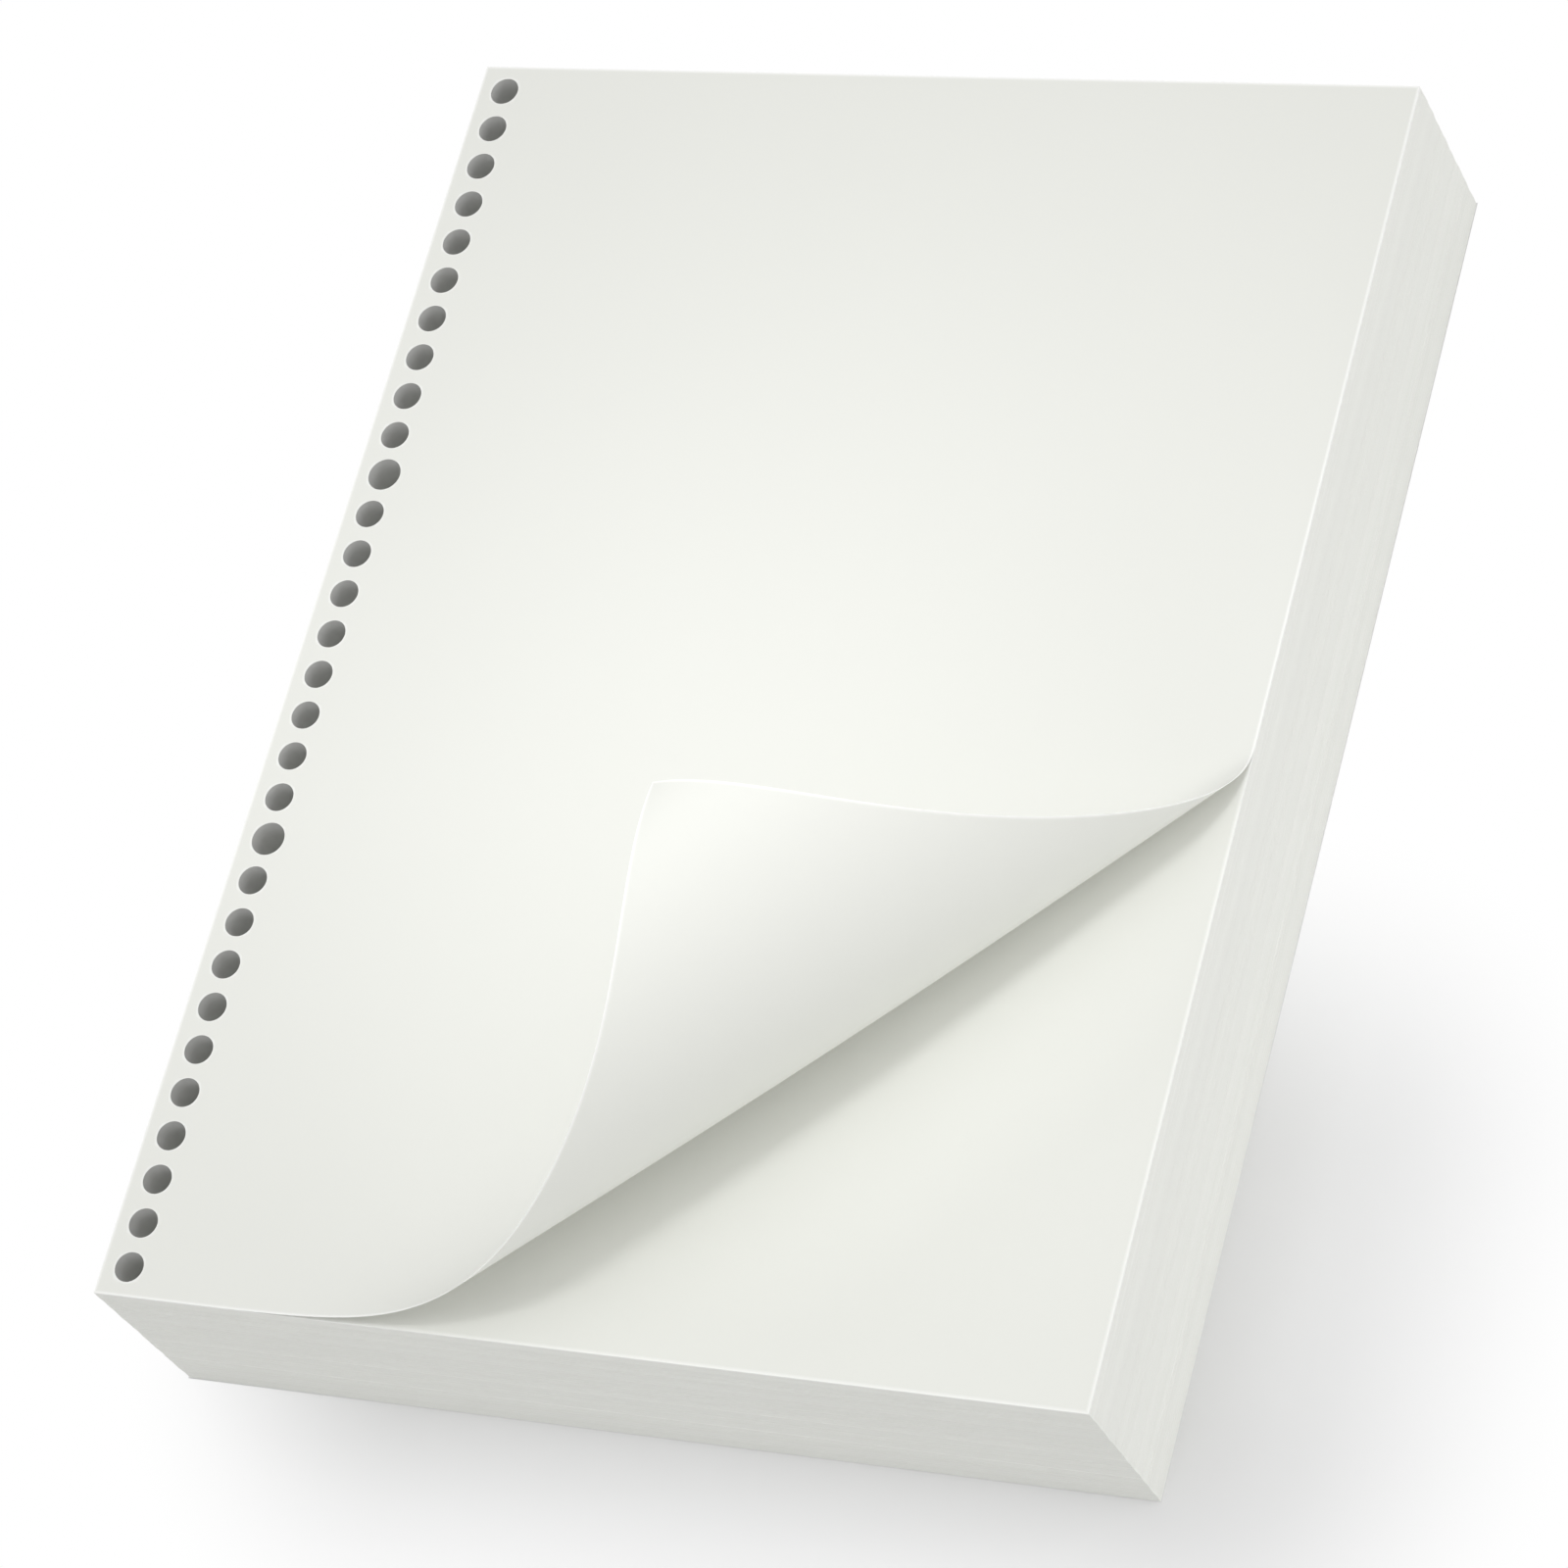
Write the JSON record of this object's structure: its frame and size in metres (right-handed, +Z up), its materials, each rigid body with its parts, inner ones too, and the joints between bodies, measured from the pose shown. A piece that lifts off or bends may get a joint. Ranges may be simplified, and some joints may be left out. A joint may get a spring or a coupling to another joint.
{
  "type": "loose-leaf refill paper",
  "caption": "Squared stack of punched loose-leaf sheets lying flat, with one corner of the top sheet curled up and over; holes along one long edge take binder rings.",
  "frame": {"origin": "middle of the stack's underside", "axes": "+X from the punched edge across the sheet, +Y from the foot of the sheet to its head, +Z up from the surface that the stack lies on"},
  "size_m": [0.213, 0.2884, 0.1203],
  "materials": {
    "paper_stack": "matt uncoated off-white, cut edges slightly greyer than the faces",
    "paper_sheet": "matt uncoated off-white, smooth, plain on both faces"
  },
  "bodies": {
    "root": {"sheet_block": "paper_stack", "top_sheet": "paper_sheet"}
  },
  "joints": []
}
